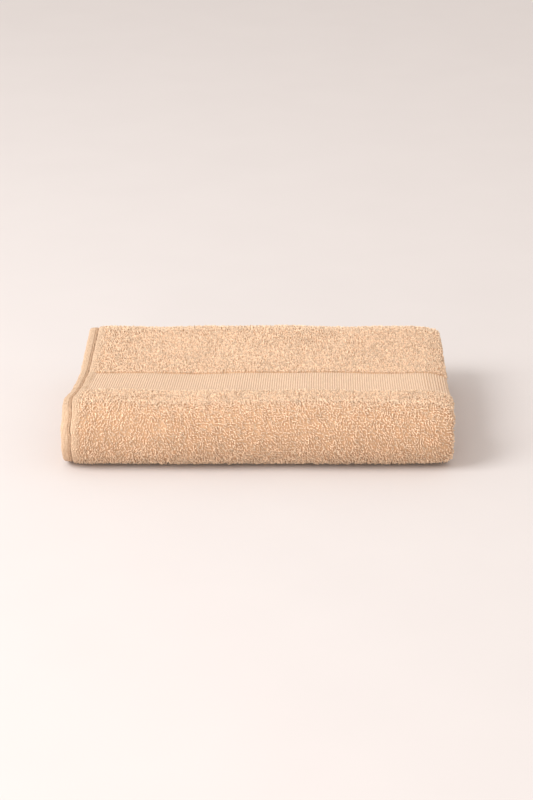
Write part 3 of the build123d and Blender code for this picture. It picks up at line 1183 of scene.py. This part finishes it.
def build_end_hem(node, name, panel, half):
    """The sewn end of a panel, doubled like its cloth"""
    piece = straight(node, panel, half)
    low, high = span(node, "y")
    close_steps = high - ROUNDED * (1 - np.sin(np.linspace(0.25, 1.5, 6)))
    steps = np.concatenate([np.linspace(low, high - ROUNDED, 9), close_steps])
    from_end = high - steps
    fullness = rounding(from_end / ROUNDED, 0.02)
    fullness *= 1 - 0.3 * np.exp(-((from_end - SEAM_IN) / (0.8 * MM)) ** 2)
    (outer_line, inner_line), part = section(piece["level"], piece["longer"], PILE_DEPTH)
    outer = sweep(piece, *outer_line, steps)
    inner = sweep(piece, *inner_line, steps)
    middle = (outer + inner) / 2
    share = fullness[:, None, None]
    outer, inner = middle + (outer - middle) * share, middle + (inner - middle) * share
    hem = thick_sheet(name, outer, inner, "hem", lie_of(outer_line[0], steps, 1.0)[:, [1, 0, 2]])
    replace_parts(carry(hem, piece["bodies"]), node)
    piece.update(outer=outer, inner=inner, part=part, x=outer_line[0])
    return hem, piece


cover_end, cover_end_piece = build_end_hem("cover_end_hem", "cover_end_hem_cloth", "cover", "upper")
tail_end, _ = build_end_hem("tail_end_hem", "tail_end_hem_cloth", "tail", "lower")
cover_end_bed = bed("cover_end_pile", cover_end_piece, OUTSIDE)
cover_end_pile = grow(PILE, cover_end_bed, {**DENSE, "Seed": 40, "Finish": FINISH["loops"]})
WITH["cover_rear"] += [cover_end, carry(cover_end_pile, [UPPER])]
WITH["tail_rear"].append(tail_end)
print("end hems built")

# %% [markdown]
# ## Stitches
#
# Lines of short stitches hold the hems. A thread is drawn as a line of edges along each seam, and
# Geometry Nodes turn it into a curve, mark it off in stitch lengths and lay a stitch on each mark.

# %% Seams
SINK = 0.3 * MM          # a seam lies this far in the hem


def stitch_tree():
    """Geometry nodes that lay stitches along lines"""
    tree, given, result = new_growth("stitches", {
        "Stitch Pitch": 3.0 * MM,
        "Stitch Length": 2.5 * MM,
        "Thread Radius": 0.3 * MM,
    })
    line = add_node(tree, "GeometryNodeMeshToCurve", {"Mesh": given["Geometry"]})
    marks = add_node(tree, "GeometryNodeCurveToPoints", {
        "Curve": line, "Length": given["Stitch Pitch"],
    }, mode="LENGTH")
    plant = add_node(tree, "GeometryNodeInstanceOnPoints", {
        "Points": marks.outputs["Points"],
        "Instance": bead(tree, given["Stitch Length"], given["Thread Radius"], 4, "Z"),
        "Rotation": marks.outputs["Rotation"],
    })
    give_result(tree, given, result, plant, random_number(tree, 0, 1, 31))
    return tree


STITCHES = stitch_tree()


def seam_lines(piece, steps):
    """Settled lines of points along both faces of both hems of a stretch"""
    lines = []
    for _, edge, low, high in hem_limits(piece["level"], piece["longer"]):
        x = edge - SEAM_INSET
        for level in (high - SINK, low + SINK):
            lines.append(sweep(piece, np.array([x]), np.array([level]), steps)[:, 0])
    return lines


def sew(name, lines, bodies, nodes):
    """Stitches along a set of lines, as one piece"""
    points, edges = [], []
    for line in lines:
        first = len(points)
        points += list(line)
        edges += [(first + i, first + i + 1) for i in range(len(line) - 1)]
    mesh = bpy.data.meshes.new(name)
    mesh.from_pydata([tuple(map(float, p)) for p in points], edges, [])
    mesh.materials.append(FINISH["thread"])
    seam = grow(STITCHES, add_object(name, mesh), {"Finish": FINISH["thread"]})
    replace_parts(carry(seam, bodies), *nodes)
    return seam


def end_seam_lines(node, panel, half):
    """Lines across both plies of a sewn end, on the outer faces"""
    piece = straight(node, panel, half)
    y = np.array([span(node, "y")[0] + SEAM_INSET])
    (outer_line, _), _ = section(piece["level"], piece["longer"], HEM_DROP + 0.25 * MM)
    return [sweep(piece, *outer_line, y)[0]]


seams = {"bend": [], "upper": [], "lower": []}
for place, stretch_name in HEMS.items():
    kind = next(k for k in seams if k in place)
    seams[kind] += seam_lines(STRETCHES[stretch_name], HEM_STEPS[place])
SEAMS = [
    sew("upper_seams", seams["upper"], [UPPER], ["upper_selvedge_threads"]),
    sew("lower_seams", seams["lower"], [LOWER], ["lower_selvedge_threads"]),
    sew("bend_seams", seams["bend"], [LOWER, UPPER], ["bend_selvedge_threads"]),
    sew("cover_end_seam", end_seam_lines("cover_end_hem", "cover", "upper"), [UPPER],
        ["cover_end_hem_threads"]),
    sew("tail_end_seam", end_seam_lines("tail_end_hem", "tail", "lower"), [LOWER],
        ["tail_end_hem_threads"]),
]
for name, seam in zip(("cover_rear", "cover_under", "cover_bend", "cover_rear", "tail_rear"), SEAMS):
    WITH[name].append(seam)
    print(seam.name, triangles(seam), "triangles")

# %% [markdown]
# ## Carrying the cloth
#
# The cloth of every stretch rides on its half, or stays where it lies if it belongs to both, and
# hides the imported part that it replaces.

for name, piece in STRETCHES.items():
    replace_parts(carry(CLOTH[name], piece["bodies"]), piece["node"])

# %% [markdown]
# ## Last measurements
#
# The triangles of all shown pieces are counted and printed.

# %% Measure and finish
total = sum(triangles(o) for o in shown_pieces() if o.type == "MESH")
print("triangles in all", total)
